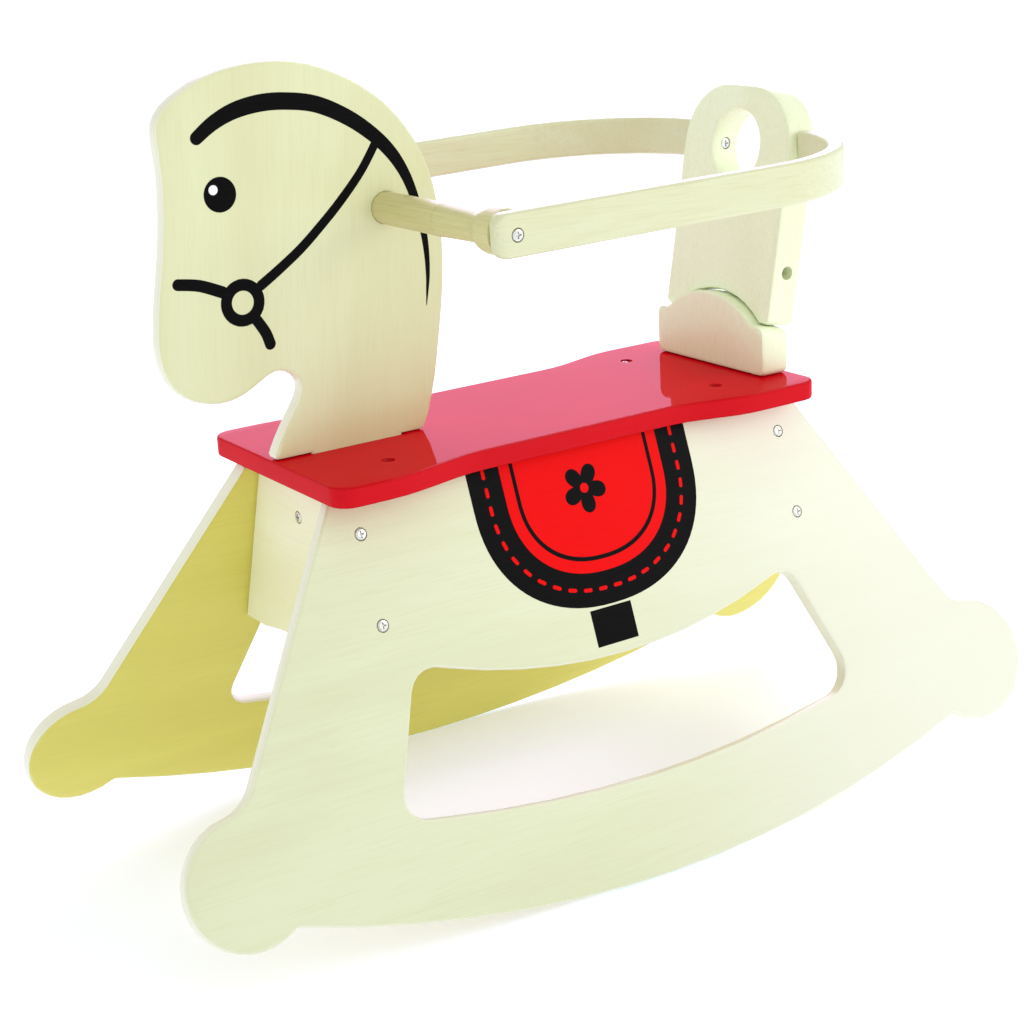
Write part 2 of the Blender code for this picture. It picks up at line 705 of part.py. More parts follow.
def backrest_base(horse):
    """The block on the seat. Its dome and shoulders slope back to fit under the leaning board."""
    middle = (BLOCK_FRONT + BLOCK_REAR) / 2
    shoulder = BACK_FOOT.z + (middle - BACK_FOOT.x) * math.tan(RECLINE) - GAP
    dome = arch(ARCH_HALF, ARCH_RISE, BLOCK_CLEARANCE, shoulder)
    corner = 0.008
    ends = rounded((
        (-BLOCK_HALF, shoulder - BLOCK_CLEARANCE, corner),
        (-BLOCK_HALF, SEAT_TOP + GAP, 0.005),
        (BLOCK_HALF, SEAT_TOP + GAP, 0.005),
        (BLOCK_HALF, shoulder - BLOCK_CLEARANCE, corner),
        (0.0, shoulder - BLOCK_CLEARANCE, 0.0),
    ))
    outline = ends[:-1] + dome
    thickness = BLOCK_FRONT - BLOCK_REAR
    verts, faces = plate(outline, -thickness / 2, thickness / 2, THICK_EDGE)
    sloped = [(y, z + w * math.tan(RECLINE) * smoothstep(z / shoulder), w) for y, z, w in verts]
    matrix = frame((middle, 0, 0), (0, 1, 0), (1, 0, 0))
    return piece("backrest_base", (sloped, faces), matrix, horse, BEECH)


def smoothstep(value):
    """0 below 0.3, 1 above 0.7, and a smooth rise between."""
    t = min(max((value - 0.3) / 0.4, 0.0), 1.0)
    return t * t * (3 - 2 * t)


# ---------------------------------------------------------------- fasteners

def recessed(name, head_radius, head_height, radius, length):
    """A screw's mesh about z: its head above z = 0, with a cross recess, and its shank below."""
    profile = [
        (radius * 0.3, -length), (radius, -length + SCREW_TIP), (radius, 0.0),
        (head_radius, 0.0), (head_radius, head_height * 0.55),
        (head_radius * 0.88, head_height * 0.88), (head_radius * 0.6, head_height),
    ]
    body = bpy.data.objects.new(name, mesh_of(name, lathe(profile, SCREW_SIDES)))
    bpy.context.scene.collection.objects.link(body)
    tools = []
    for k in range(2):
        long, wide = head_radius * 0.56, head_radius * 0.13
        outline = [(long, wide), (-long, wide), (-long, -wide), (long, -wide)]
        tool = bpy.data.objects.new(name, mesh_of(name, prism(outline, head_height * 0.3, 0.01)))
        tool.rotation_euler = (0, 0, math.radians(90 * k))
        bpy.context.scene.collection.objects.link(tool)
        cut([body], tool)
        tools.append(tool)
    bpy.context.view_layer.update()
    mesh = bpy.data.meshes.new_from_object(body.evaluated_get(bpy.context.evaluated_depsgraph_get()))
    for obj in [body] + tools:
        bpy.data.objects.remove(obj, do_unlink=True)
    mesh.materials.clear()
    mesh.materials.append(finish_of(name, STEEL, 0.3, 1.0))
    return mesh


def fasten(name, mesh, matrix, joined, horse, size):
    """Puts a screw in place and bores its hole, with its head's recess, through the joined pieces."""
    head_radius, head_height, radius, length = size
    screw = place(name, mesh, matrix, horse)
    bore = [
        (radius + GAP, -length - GAP), (radius + GAP, -GAP),
        (head_radius + HEAD_CLEARANCE, -GAP), (head_radius + HEAD_CLEARANCE, head_height + 0.006),
    ]
    cut(joined, cutter(name + "_bore", lathe(bore, SCREW_SIDES), matrix, horse))
    return screw


def screw_size(length):
    return SCREW_HEAD_RADIUS, SCREW_HEAD_HEIGHT, SCREW_RADIUS, length


def panel_screws(panels, front, rear, horse):
    """Two screws through each end of each panel into the aprons."""
    size = screw_size(PANEL_SCREW_LENGTH)
    mesh = recessed("panel_screw", *size)
    sunk = SCREW_HEAD_HEIGHT - SCREW_PROUD
    for side, panel in zip((1, -1), panels):
        for where, x, board in (("front", FRONT_PANEL_SCREW_X, front), ("rear", REAR_PANEL_SCREW_X, rear)):
            for level, depth in zip(("upper", "lower"), PANEL_SCREW_DEPTHS):
                hand = "left" if side > 0 else "right"
                name = f"panel_screw_{hand}_{where}_{level}"
                matrix = frame(panel_point(side, x, depth, sunk), (1, 0, 0), panel_out(side))
                fasten(name, mesh, matrix, [panel, board], horse, size)


def seat_screws(panels, seat, horse):
    """Two screws through the seat into each panel's top edge, along the panel's slope."""
    size = screw_size(SEAT_SCREW_LENGTH)
    mesh = recessed("seat_screw", *size)
    for side, panel in zip((1, -1), panels):
        for where, x in zip(("front", "rear"), SEAT_SCREW_X):
            hand = "left" if side > 0 else "right"
            origin = panel_point(side, x, SEAT_SCREW_SINK - SEAT_TOP / math.cos(SPLAY), BOARD / 2)
            matrix = frame(origin, (1, 0, 0), panel_up(side))
            fasten(f"seat_screw_{hand}_{where}", mesh, matrix, [panel, seat], horse, size)


def apron_screw(front, head, horse):
    size = screw_size(APRON_SCREW_LENGTH)
    mesh = recessed("apron_screw", *size)
    origin = (FRONT_APRON_FACE - SCREW_HEAD_HEIGHT + SCREW_PROUD, 0.0, APRON_SCREW_Z)
    fasten("apron_screw", mesh, frame(origin, (0, 1, 0), (1, 0, 0)), [front, head], horse, size)


def rail_screws(rails, ends, board, horse):
    """One screw through each rail's front end, and one from inside the backrest's hole into its rear end."""
    front_size = screw_size(RAIL_FRONT_SCREW_LENGTH)
    rear_size = screw_size(RAIL_REAR_SCREW_LENGTH)
    front_mesh = recessed("rail_front_screw", *front_size)
    rear_mesh = recessed("rail_rear_screw", *rear_size)
    hole = BACK_FOOT + back_up() * BACK_HOLE_HEIGHT - back_front() * (THICK_BOARD / 2)
    for side, rail_piece, end in zip((1, -1), rails, ends):
        hand = "left" if side > 0 else "right"
        face = rail_half(HANDLE_X) + BOARD / 2 - SCREW_HEAD_HEIGHT + SCREW_PROUD
        matrix = frame((HANDLE_X, side * face, HANDLE_Z), (1, 0, 0), (0, side, 0))
        fasten(f"rail_front_screw_{hand}", front_mesh, matrix, [rail_piece, end], horse, front_size)
        wall = BACK_HOLE_RADIUS + SCREW_HEAD_HEIGHT
        matrix = frame((hole.x, side * wall, hole.z), (1, 0, 0), (0, -side, 0))
        fasten(f"rail_rear_screw_{hand}", rear_mesh, matrix, [board, rail_piece], horse, rear_size)


def bolts(seat, block, board, horse):
    """Two long bolts up through the seat and block into barrel nuts in the backrest board."""
    sides = 16
    size = (BOLT_HEAD_RADIUS, BOLT_HEAD_HEIGHT, BOLT_RADIUS, BOLT_LENGTH)
    mesh = recessed("bolt", *size)
    middle = BACK_FOOT - back_front() * (THICK_BOARD / 2)
    up = back_up()
    start = middle + up * ((SEAT_UNDERSIDE + BOLT_SINK - middle.z) / up.z)
    nut = middle + up * ((BARREL_HEIGHT - middle.z) / up.z)
    for side in (1, -1):
        hand = "left" if side > 0 else "right"
        shift = Vector((0.0, side * BOLT_HALF_SPACING, 0.0))
        ring = ring_solid(BOLT_RADIUS + GAP, WASHER_RADIUS, GAP, GAP + WASHER_THICKNESS, sides)
        below = frame(start + shift, (0, 1, 0), -up)
        piece(f"bolt_washer_{hand}", ring, below, horse, STEEL, roughness=0.3, metallic=1.0)
        spot = lathe([(WASHER_RADIUS + HEAD_CLEARANCE, 0.0), (WASHER_RADIUS + HEAD_CLEARANCE, 0.02)], sides)
        cut([seat], cutter(f"bolt_spot_{hand}", spot, below, horse))
        head_at = start + shift - up * (WASHER_THICKNESS + 2 * GAP)
        barrel_frame = frame(nut + shift, (1, 0, 0), (0, side, 0))
        barrel_profile = [
            (BARREL_RADIUS - 0.0006, -BARREL_LENGTH / 2), (BARREL_RADIUS, -BARREL_LENGTH / 2 + 0.0006),
            (BARREL_RADIUS, BARREL_LENGTH / 2 - 0.0006), (BARREL_RADIUS - 0.0006, BARREL_LENGTH / 2),
        ]
        barrel = piece(
            f"barrel_nut_{hand}", lathe(barrel_profile, sides), barrel_frame, horse, STEEL, 0.35, 1.0
        )
        well = [
            (BARREL_RADIUS + GAP, -BARREL_LENGTH / 2 - GAP),
            (BARREL_RADIUS + GAP, BACK_HALF - BOLT_HALF_SPACING + 0.005),
        ]
        cut([board], cutter(f"barrel_well_{hand}", lathe(well, sides), barrel_frame, horse))
        matrix = frame(head_at, (0, 1, 0), -up)
        fasten(f"bolt_{hand}", mesh, matrix, [seat, block, board, barrel], horse, size)


def pegs(seat, block, horse):
    """Two wooden pegs that keep the block from turning on the seat."""
    middle = (BLOCK_FRONT + BLOCK_REAR) / 2
    chamfer = 0.0008
    profile = [
        (PEG_RADIUS - chamfer, PEG_BOTTOM), (PEG_RADIUS, PEG_BOTTOM + chamfer),
        (PEG_RADIUS, PEG_TOP - chamfer), (PEG_RADIUS - chamfer, PEG_TOP),
    ]
    bore = [(PEG_RADIUS + GAP, PEG_BOTTOM - GAP), (PEG_RADIUS + GAP, PEG_TOP + GAP)]
    for side in (1, -1):
        name = "block_peg_left" if side > 0 else "block_peg_right"
        matrix = Matrix.Translation((middle, side * PEG_HALF_SPACING, 0.0))
        piece(name, lathe(profile, SCREW_SIDES), matrix, horse, HANDLE_WOOD)
        cut([seat, block], cutter(name + "_bore", lathe(bore, SCREW_SIDES), matrix, horse))


# ---------------------------------------------------------------- the whole horse

def stand(horse):
    """Tips the horse to its rest angle and puts the bottom middle of its box at the origin."""
    horse.rotation_euler = (0.0, REST_PITCH, 0.0)
    bpy.context.view_layer.update()
    corners = [
        obj.matrix_world @ vertex.co
        for obj in bpy.data.objects
        if obj.type == "MESH" and not obj.hide_render
        for vertex in obj.data.vertices
    ]
    low = [min(point[axis] for point in corners) for axis in range(3)]
    high = [max(point[axis] for point in corners) for axis in range(3)]
    horse.location = (-(low[0] + high[0]) / 2, -(low[1] + high[1]) / 2, -low[2])


def main():
    clear_scene()
    horse = bpy.data.objects.new("horse", None)
    bpy.context.scene.collection.objects.link(horse)
    panels = [side_panel(side, horse) for side in (1, -1)]
    seat = seat_board(horse)
    front = apron("front_apron", FRONT_APRON_FACE - BOARD, (), horse)
    rear = apron("rear_apron", REAR_APRON_REAR_FACE, (-BOLT_HALF_SPACING, BOLT_HALF_SPACING), horse)
    head = head_panel(horse)
    ends = handle(horse)
    rails = [rail(side, horse) for side in (1, -1)]
    board = backrest_board(horse)
    block = backrest_base(horse)
    panel_screws(panels, front, rear, horse)
    seat_screws(panels, seat, horse)
    apron_screw(front, head, horse)
    rail_screws(rails, ends, board, horse)
    bolts(seat, block, board, horse)
    pegs(seat, block, horse)
    stand(horse)


main()
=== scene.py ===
"""The looks of a wooden rocking horse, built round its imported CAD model.

Lengths are in metres. Printed shapes are drawn in the horse's own frame (+X to the nose, z = 0 just under the
seat's top), which the record's seat_top mount places in the row frame.
"""

import json
import math

import bpy
from mathutils import Matrix, Vector
from mathutils.geometry import delaunay_2d_cdt


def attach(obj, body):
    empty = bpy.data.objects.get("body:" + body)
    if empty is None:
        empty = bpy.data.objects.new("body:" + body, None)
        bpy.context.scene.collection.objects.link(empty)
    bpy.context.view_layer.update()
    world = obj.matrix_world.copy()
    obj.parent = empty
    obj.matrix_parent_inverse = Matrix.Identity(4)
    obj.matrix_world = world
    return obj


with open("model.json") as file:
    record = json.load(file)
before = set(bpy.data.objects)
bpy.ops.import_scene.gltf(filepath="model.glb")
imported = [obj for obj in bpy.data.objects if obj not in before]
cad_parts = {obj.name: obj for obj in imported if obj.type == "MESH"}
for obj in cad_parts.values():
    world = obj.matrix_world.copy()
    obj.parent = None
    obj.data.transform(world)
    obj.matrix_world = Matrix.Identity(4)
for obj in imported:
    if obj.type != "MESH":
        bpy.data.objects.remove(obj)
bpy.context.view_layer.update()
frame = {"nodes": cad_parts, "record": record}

# The horse's own frame in the row frame. The seat's top lies SEAT_TOP above its origin.
SEAT_TOP = 0.0025
SEAT_MOUNT = next(m for m in frame["record"]["mounts"] if m["name"] == "seat_top")
PITCH = math.atan2(SEAT_MOUNT["axis"][0], SEAT_MOUNT["axis"][2])
SEAT = (
    Matrix.Translation(SEAT_MOUNT["pos_m"])
    @ Matrix.Rotation(PITCH, 4, "Y")
    @ Matrix.Translation((0.0, 0.0, -SEAT_TOP))
)

# Boards, as in the CAD model.
BOARD = 0.012
SPLAY = math.radians(19.5)      # of the side panels
PANEL_HALF_TOP = 0.0637         # half the width over the side panels' outer faces, at z = 0
RECLINE = math.radians(10.4)    # of the backrest
HEAD_GRAIN = math.radians(-86)  # turns the head's grain to x
RAIL_GRAIN = math.radians(-0.1)

# The camera, in the horse's own frame.
CAMERA_PLACE = Vector((0.8298, 1.2343, 0.3897))
CAMERA_YAW = math.radians(237.2)
CAMERA_PITCH = math.radians(-17.69)
CAMERA_ROLL = math.radians(-3.09)
CAMERA_LENS = 71.37

# Print.
INK = 0.00012                   # thickness of one layer of print
INK_FOOT = 0.1 * INK            # from the wood to the print's underside
STEP = 0.000008                 # between the shapes of one layer, which overlap
ROUND_STEP = math.radians(12)

# Studio.
FLOOR_HALF = 40.0
FLOOR_GLOW = (0.60, 0.72, 0.92, 1.0)
AIM = (0.0, 0.0, 0.3)           # what the lights face


def srgb(red, green, blue):
    """A linear colour from the 0 to 255 values a screen shows."""
    values = (channel / 255 for channel in (red, green, blue))
    return tuple(v / 12.92 if v <= 0.04045 else ((v + 0.055) / 1.055) ** 2.4 for v in values) + (1.0,)


# ---------------------------------------------------------------- material graphs

class Graph:
    """One material and the nodes that feed its shader."""

    def __init__(self, name, **shader):
        self.material = bpy.data.materials.new(name)
        self.material.use_nodes = True
        self.tree = self.material.node_tree
        self.shader = self.tree.nodes["Principled BSDF"]
        for socket, value in shader.items():
            self.shader.inputs[socket.replace("_", " ")].default_value = value
        self.place = self.add("ShaderNodeTexCoord").outputs["Object"]

    def add(self, kind, inputs=None, **settings):
        node = self.tree.nodes.new(kind)
        for key, value in settings.items():
            setattr(node, key, value)
        for key, value in (inputs or {}).items():
            if isinstance(value, bpy.types.NodeSocket):
                self.tree.links.new(value, node.inputs[key])
            else:
                node.inputs[key].default_value = value
        return node

    def turn(self, rotation):
        """The place, turned to line up with a tilted board."""
        mapped = self.add("ShaderNodeMapping", {"Vector": self.place, "Rotation": rotation})
        return mapped.outputs["Vector"]

    def stretch(self, vector, scale):
        node = self.add("ShaderNodeVectorMath", {0: vector, 1: scale}, operation="MULTIPLY")
        return node.outputs["Vector"]

    def noise(self, vector, detail=2.0, roughness=0.5, distortion=0.0):
        sockets = {
            "Vector": vector, "Scale": 1.0,
            "Detail": detail, "Roughness": roughness, "Distortion": distortion,
        }
        return self.add("ShaderNodeTexNoise", sockets).outputs["Fac"]

    def math(self, operation, first, second=0.0):
        node = self.add("ShaderNodeMath", {0: first, 1: second}, operation=operation)
        return node.outputs["Value"]

    def span(self, value, low, high, to_low=0.0, to_high=1.0):
        """The value carried smoothly from low..high to to_low..to_high."""
        sockets = {"Value": value, 1: low, 2: high, 3: to_low, 4: to_high}
        return self.add("ShaderNodeMapRange", sockets, interpolation_type="SMOOTHSTEP").outputs[0]

    def mix(self, factor, first, second, blend="MIX"):
        node = self.add("ShaderNodeMix", {0: factor, 6: first, 7: second}, data_type="RGBA", blend_type=blend)
        return node.outputs[2]

    def toward(self, direction):
        """How squarely the surface faces along a direction, from -1 to 1."""
        normal = self.add("ShaderNodeNewGeometry").outputs["Normal"]
        dot = self.add("ShaderNodeVectorMath", {0: normal, 1: direction}, operation="DOT_PRODUCT")
        return dot.outputs["Value"]

    def facing(self, direction):
        """How squarely the surface faces along a direction or against it, from 0 to 1."""
        return self.math("ABSOLUTE", self.toward(direction))

    def finish(self, colour, roughness=None, height=None, strength=0.0, distance=0.0):
        """Connects the finished colour, gloss and bump, and gives the material."""
        self.tree.links.new(colour, self.shader.inputs["Base Color"])
        if roughness is not None:
            self.tree.links.new(roughness, self.shader.inputs["Roughness"])
        if height is not None:
            sockets = {"Height": height, "Strength": strength, "Distance": distance}
            bump = self.add("ShaderNodeBump", sockets)
            self.tree.links.new(bump.outputs["Normal"], self.shader.inputs["Normal"])
        return self.material


def along(axis, slow, fast):
    """Scales for a grain that runs along one axis: slow along it and fast across it."""
    return tuple(slow if i == axis else fast for i in range(3))


def wood_tones(graph, vector, axis, pale, deep, pore, contrast):
    """The colour, fibre height and growth figure of a wood whose grain runs along an axis."""
    drift = graph.noise(graph.stretch(vector, along(axis, 2.2, 13.0)), 3.0, 0.55, 0.4)
    figure = graph.noise(graph.stretch(vector, along(axis, 5.0, 75.0)), 4.0, 0.6, 0.8)
    fibre = graph.noise(graph.stretch(vector, along(axis, 22.0, 700.0)), 5.0, 0.65, 0.2)
    fleck = graph.noise(graph.stretch(vector, along(axis, 130.0, 1500.0)), 2.0, 0.5)
    body = graph.mix(graph.span(drift, 0.3, 0.7), pale, deep)
    streak = graph.span(figure, 0.35, 0.72, 0.0, 0.38 * contrast)
    body = graph.mix(streak, body, deep)
    hair = graph.span(fibre, 0.42, 0.75, 0.0, 0.30 * contrast)
    body = graph.mix(hair, body, pore)
    pores = graph.span(fleck, 0.68, 0.78, 0.0, 0.40 * contrast)
    body = graph.mix(pores, body, pore)
    height = graph.math("SUBTRACT", fibre, graph.math("MULTIPLY", pores, 1.5))
    return body, height, figure


PLY_PAIR = 0.0027               # thickness of one pale and one dark ply
# the tint of the painted shade on a side panel's inner face
INNER_SHADE_TINT = srgb(255, 241, 140)
# where the painted light to a side panel's rear is full, and where it starts
REAR_LIGHT_FULL, REAR_LIGHT_START = -0.3, 0.12


def painted_face_light(graph, colour, inward):
    """A side panel's painted light: a painted, yellower shade on its inner face, and a painted light on the
    rest that turns it paler to the rear.
    """
    # painted shade: the inner face, turned from the lights, goes yellower
    inner_shade_mask = graph.span(graph.toward(inward), 0.55, 0.85)
    colour = graph.mix(inner_shade_mask, colour, graph.mix(1.0, colour, INNER_SHADE_TINT, "MULTIPLY"))
    # painted light: the outer face and the edges turn paler towards the rear
    x = graph.add("ShaderNodeSeparateXYZ", {"Vector": graph.place}).outputs["X"]
    rear_light_mask = graph.span(x, REAR_LIGHT_FULL, REAR_LIGHT_START, 0.75, 0.0)
    rear_light_mask = graph.math("MULTIPLY", rear_light_mask, graph.math("SUBTRACT", 1.0, inner_shade_mask))
    return graph.mix(rear_light_mask, colour, srgb(238, 238, 222))


def plywood(name, rotation, axis, through, pale, deep, pore, square, inward=None):
    """Lacquered plywood: veneer grain on its two faces, thin stripes of plies along its edges, and a painted
    highlight on its rounded edges.

    rotation lines the board up with the axes. axis is the grain's axis there and through the axis through the
    board. square is the row frame direction square to its faces. inward, on a board with painted shade on its
    inner face and painted light on the rest, is the direction that the inner face faces.
    """
    graph = Graph(name, Coat_Weight=0.35, Coat_Roughness=0.16, Specular_IOR_Level=0.45)
    vector = graph.turn(rotation)
    colour, height, figure = wood_tones(graph, vector, axis, pale, deep, pore, 0.7)
    # the side panels' painted shade inside and painted light outside
    if inward is not None:
        colour = painted_face_light(graph, colour, inward)
    depth = graph.add("ShaderNodeSeparateXYZ", {"Vector": vector}).outputs[through]
    plies = graph.math("SINE", graph.math("MULTIPLY", depth, 2 * math.pi / PLY_PAIR))
    rough_ply = graph.noise(graph.stretch(vector, (260.0, 260.0, 260.0)), 3.0, 0.6)
    stripe = graph.span(graph.math("ADD", plies, graph.math("MULTIPLY", rough_ply, 0.5)), 0.1, 0.9, 0.0, 0.35)
    end_grain = graph.mix(stripe, srgb(238, 238, 212), srgb(216, 210, 170))
    edge = graph.span(graph.facing(square), 0.62, 0.9, 1.0, 0.0)
    colour = graph.mix(edge, colour, end_grain)
    # painted highlight: the rounding next to each face turns paler
    painted_edge_highlight = graph.math("MULTIPLY", graph.span(graph.facing(square), 0.86, 0.995, 1.0, 0.0), 0.35)
    colour = graph.mix(painted_edge_highlight, colour, srgb(242, 244, 224))
    gloss = graph.span(figure, 0.2, 0.8, 0.34, 0.5)
    return graph.finish(colour, gloss, height, 0.12, 0.0002)


def solid_wood(name, rotation, axis, pale, deep, pore, contrast=1.0):
    """Lacquered solid wood, or bent plywood seen on its faces, with its grain along one axis."""
    graph = Graph(name, Coat_Weight=0.3, Coat_Roughness=0.18, Specular_IOR_Level=0.45)
    vector = graph.turn(rotation)
    colour, height, figure = wood_tones(graph, vector, axis, pale, deep, pore, contrast)
    smudge = graph.noise(graph.stretch(graph.place, (9.0, 9.0, 9.0)), 2.0)
    colour = graph.mix(graph.span(smudge, 0.45, 0.75, 0.0, 0.18), colour, pale)
    return graph.finish(colour, graph.span(figure, 0.2, 0.8, 0.36, 0.52), height, 0.14, 0.0002)


def red_lacquer():
    """Deep gloss over plywood: an even red, with painted shade that turns it a little darker on the rounded
    edges.
    """
    graph = Graph("red_lacquer", Coat_Weight=0.22, Coat_Roughness=0.03, Coat_IOR=1.5, Specular_IOR_Level=0.0)
    cloud = graph.noise(graph.stretch(graph.place, (6.0, 14.0, 14.0)), 3.0, 0.5, 0.3)
    colour = graph.mix(graph.span(cloud, 0.3, 0.7), srgb(214, 4, 24), srgb(206, 3, 20))
    up = (math.sin(PITCH), 0.0, math.cos(PITCH))
    rim = graph.facing(up)
    # painted shade: a darker red on the rounded edges between the top and the sides
    painted_edge_shade = graph.math("MULTIPLY", graph.span(rim, 0.12, 0.4), graph.span(rim, 0.85, 0.985, 1.0, 0.0))
    colour = graph.mix(painted_edge_shade, colour, srgb(188, 0, 10))
    peel = graph.noise(graph.stretch(graph.place, (240.0, 240.0, 240.0)), 2.0)
    grain = graph.noise(graph.stretch(graph.place, (16.0, 420.0, 420.0)), 3.0)
    height = graph.math("ADD", peel, graph.math("MULTIPLY", grain, 0.5))
    return graph.finish(colour, graph.span(cloud, 0.2, 0.8, 0.16, 0.24), height, 0.035, 0.0002)


def zinc_steel():
    """Bright plated steel, with fine turning marks and a duller bloom here and there."""
    graph = Graph("zinc_steel", Metallic=1.0)
    bloom = graph.noise(graph.stretch(graph.place, (420.0, 420.0, 420.0)), 3.0, 0.6)
    marks = graph.noise(graph.stretch(graph.place, (2600.0, 2600.0, 500.0)), 2.0)
    colour = graph.mix(graph.span(bloom, 0.3, 0.7), srgb(236, 236, 230), srgb(206, 206, 198))
    return graph.finish(colour, graph.span(bloom, 0.25, 0.75, 0.22, 0.42), marks, 0.12, 0.0001)


def print_ink(name, colour, shade):
    """Screen-printed ink: nearly even, a little broken by the grain beneath it."""
    graph = Graph(name, Specular_IOR_Level=0.06)
    grain = graph.noise(graph.stretch(graph.place, (60.0, 900.0, 900.0)), 4.0, 0.6)
    dots = graph.noise(graph.stretch(graph.place, (1800.0, 1800.0, 1800.0)), 1.0)
    tone = graph.mix(graph.span(grain, 0.4, 0.8, 0.0, 0.6), colour, shade)
    return graph.finish(tone, graph.span(dots, 0.3, 0.7, 0.34, 0.46), dots, 0.05, 0.0001)


# ---------------------------------------------------------------- plane curves

def smooth(knots, steps):
    """An open curve through knots of any number of values, with so many steps from knot to knot."""
    points = []
    for i in range(len(knots) - 1):
        before, a, b = Vector(knots[max(i - 1, 0)]), Vector(knots[i]), Vector(knots[i + 1])
        after = Vector(knots[min(i + 2, len(knots) - 1)])
        leave, arrive = (b - before) / 2, (after - a) / 2
        for j in range(steps):
            t = j / steps
            rise = 3 * t**2 - 2 * t**3
            points.append(
                a * (1 - rise) + leave * (t**3 - 2 * t**2 + t) + b * rise + arrive * (t**3 - t**2)
            )
    points.append(Vector(knots[-1]))
    return points


def circle(centre, radius, start=0.0, sweep=2 * math.pi):
    """Points along an arc. A whole circle leaves out the repeated last point."""
    whole = abs(sweep) > 2 * math.pi - 1e-6
    count = max(6, math.ceil(abs(sweep) / ROUND_STEP))
    steps = range(count) if whole else range(count + 1)
    angles = (start + sweep * i / count for i in steps)
    return [(centre[0] + radius * math.cos(a), centre[1] + radius * math.sin(a)) for a in angles]


def stroke(knots, steps=6, round_start=True, round_end=True):
    """The outline of a line drawn with a changing width, from (x, y, width) knots."""
    line = smooth(knots, steps)
    left, right = [], []
    for i, point in enumerate(line):
        ahead = (line[min(i + 1, len(line) - 1)] - line[max(i - 1, 0)]).to_2d().normalized()
        side = Vector((-ahead.y, ahead.x)) * (point.z / 2)
        left.append(tuple(point.to_2d() + side))
        right.append(tuple(point.to_2d() - side))
    end, start = [], []
    if round_end:
        end = half_turn(line[-1], line[-1] - line[-2])
    if round_start:
        start = half_turn(line[0], line[0] - line[1])
    return right + end + left[::-1] + start


def half_turn(point, outward):
    """A round cap's points between the two sides of a stroke's end."""
    angle = math.atan2(outward.y, outward.x)
    arc = circle(point.to_2d(), point.z / 2, angle - math.pi / 2, math.pi)
    return arc[1:-1]


def pill(centre, direction, length, width):
    """A short dash with round ends."""
    reach = Vector(direction).normalized() * (length - width) / 2
    knots = [(*(Vector(centre) - reach), width), (*(Vector(centre) + reach), width)]
    return stroke(knots, steps=1)


# ---------------------------------------------------------------- printed pieces

def area(loop):
    """The area inside a loop, below zero where the loop runs clockwise."""
    pairs = zip(loop, loop[1:] + loop[:1])
    return sum(a[0] * b[1] - b[0] * a[1] for a, b in pairs) / 2


def inside(point, loop):
    """Whether a loop goes round the point."""
    crossings = 0
    for a, b in zip(loop, loop[1:] + loop[:1]):
        if (a[1] > point.y) != (b[1] > point.y):
            reach = a[0] + (point.y - a[1]) * (b[0] - a[0]) / (b[1] - a[1])
            crossings += reach > point.x
    return crossings % 2 == 1


def layer(shapes, to_space, low, high):
    """A mesh of flat shapes, each a hair thicker than the last. A shape is an outline and its holes."""
    verts, faces = [], []
    for number, (outline, holes) in enumerate(shapes):
        top = high + number * STEP
        loops = [outline if area(outline) > 0 else outline[::-1]]
        loops += [hole if area(hole) < 0 else hole[::-1] for hole in holes]
        flat = [Vector(p) for loop in loops for p in loop]
        edges, start = [], 0
        for loop in loops:
            edges += [(start + i, start + (i + 1) % len(loop)) for i in range(len(loop))]
            start += len(loop)
        points, _, triangles = delaunay_2d_cdt(flat, edges, [], 1, 1e-8)[:3]
        base, count = len(verts), len(points)
        verts += [to_space(p.x, p.y, low) for p in points] + [to_space(p.x, p.y, top) for p in points]
        for triangle in triangles:
            middle = sum((points[i] for i in triangle), Vector((0.0, 0.0))) / 3
            if not any(inside(middle, hole) for hole in loops[1:]):
                faces.append([base + count + i for i in triangle])
                faces.append([base + i for i in reversed(triangle)])
        faces += [(base + a, base + b, base + count + b, base + count + a) for a, b in edges]
    return verts, faces


def printed(name, shapes, to_space, level, material):
    """One colour of print, as a thin piece over the layers below it. to_space places (x, y, height)."""
    mesh = bpy.data.meshes.new(name)
    verts, faces = layer(shapes, to_space, INK_FOOT, INK * level)
    mesh.from_pydata(verts, [], faces)
    mesh.materials.append(material)
    piece = bpy.data.objects.new(name, mesh)
    bpy.context.scene.collection.objects.link(piece)
    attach(piece, "root")


def on_head(side):
    """Places (x, z) of the head's profile on its face. The right face's drawing is mirrored."""
    def to_space(x, z, height):
        return SEAT @ Vector((x, side * (BOARD / 2 + height), z))
    return to_space


def on_panel(side):
    """Places (x, -depth) on a side panel's outer face."""
    out = Vector((0.0, side * math.cos(SPLAY), math.sin(SPLAY)))
    up = Vector((0.0, -side * math.sin(SPLAY), math.cos(SPLAY)))
    top = Vector((0.0, side * PANEL_HALF_TOP, 0.0))

    def to_space(x, height_up, height):
        return SEAT @ (top + Vector((x, 0.0, 0.0)) + up * height_up + out * height)
    return to_space


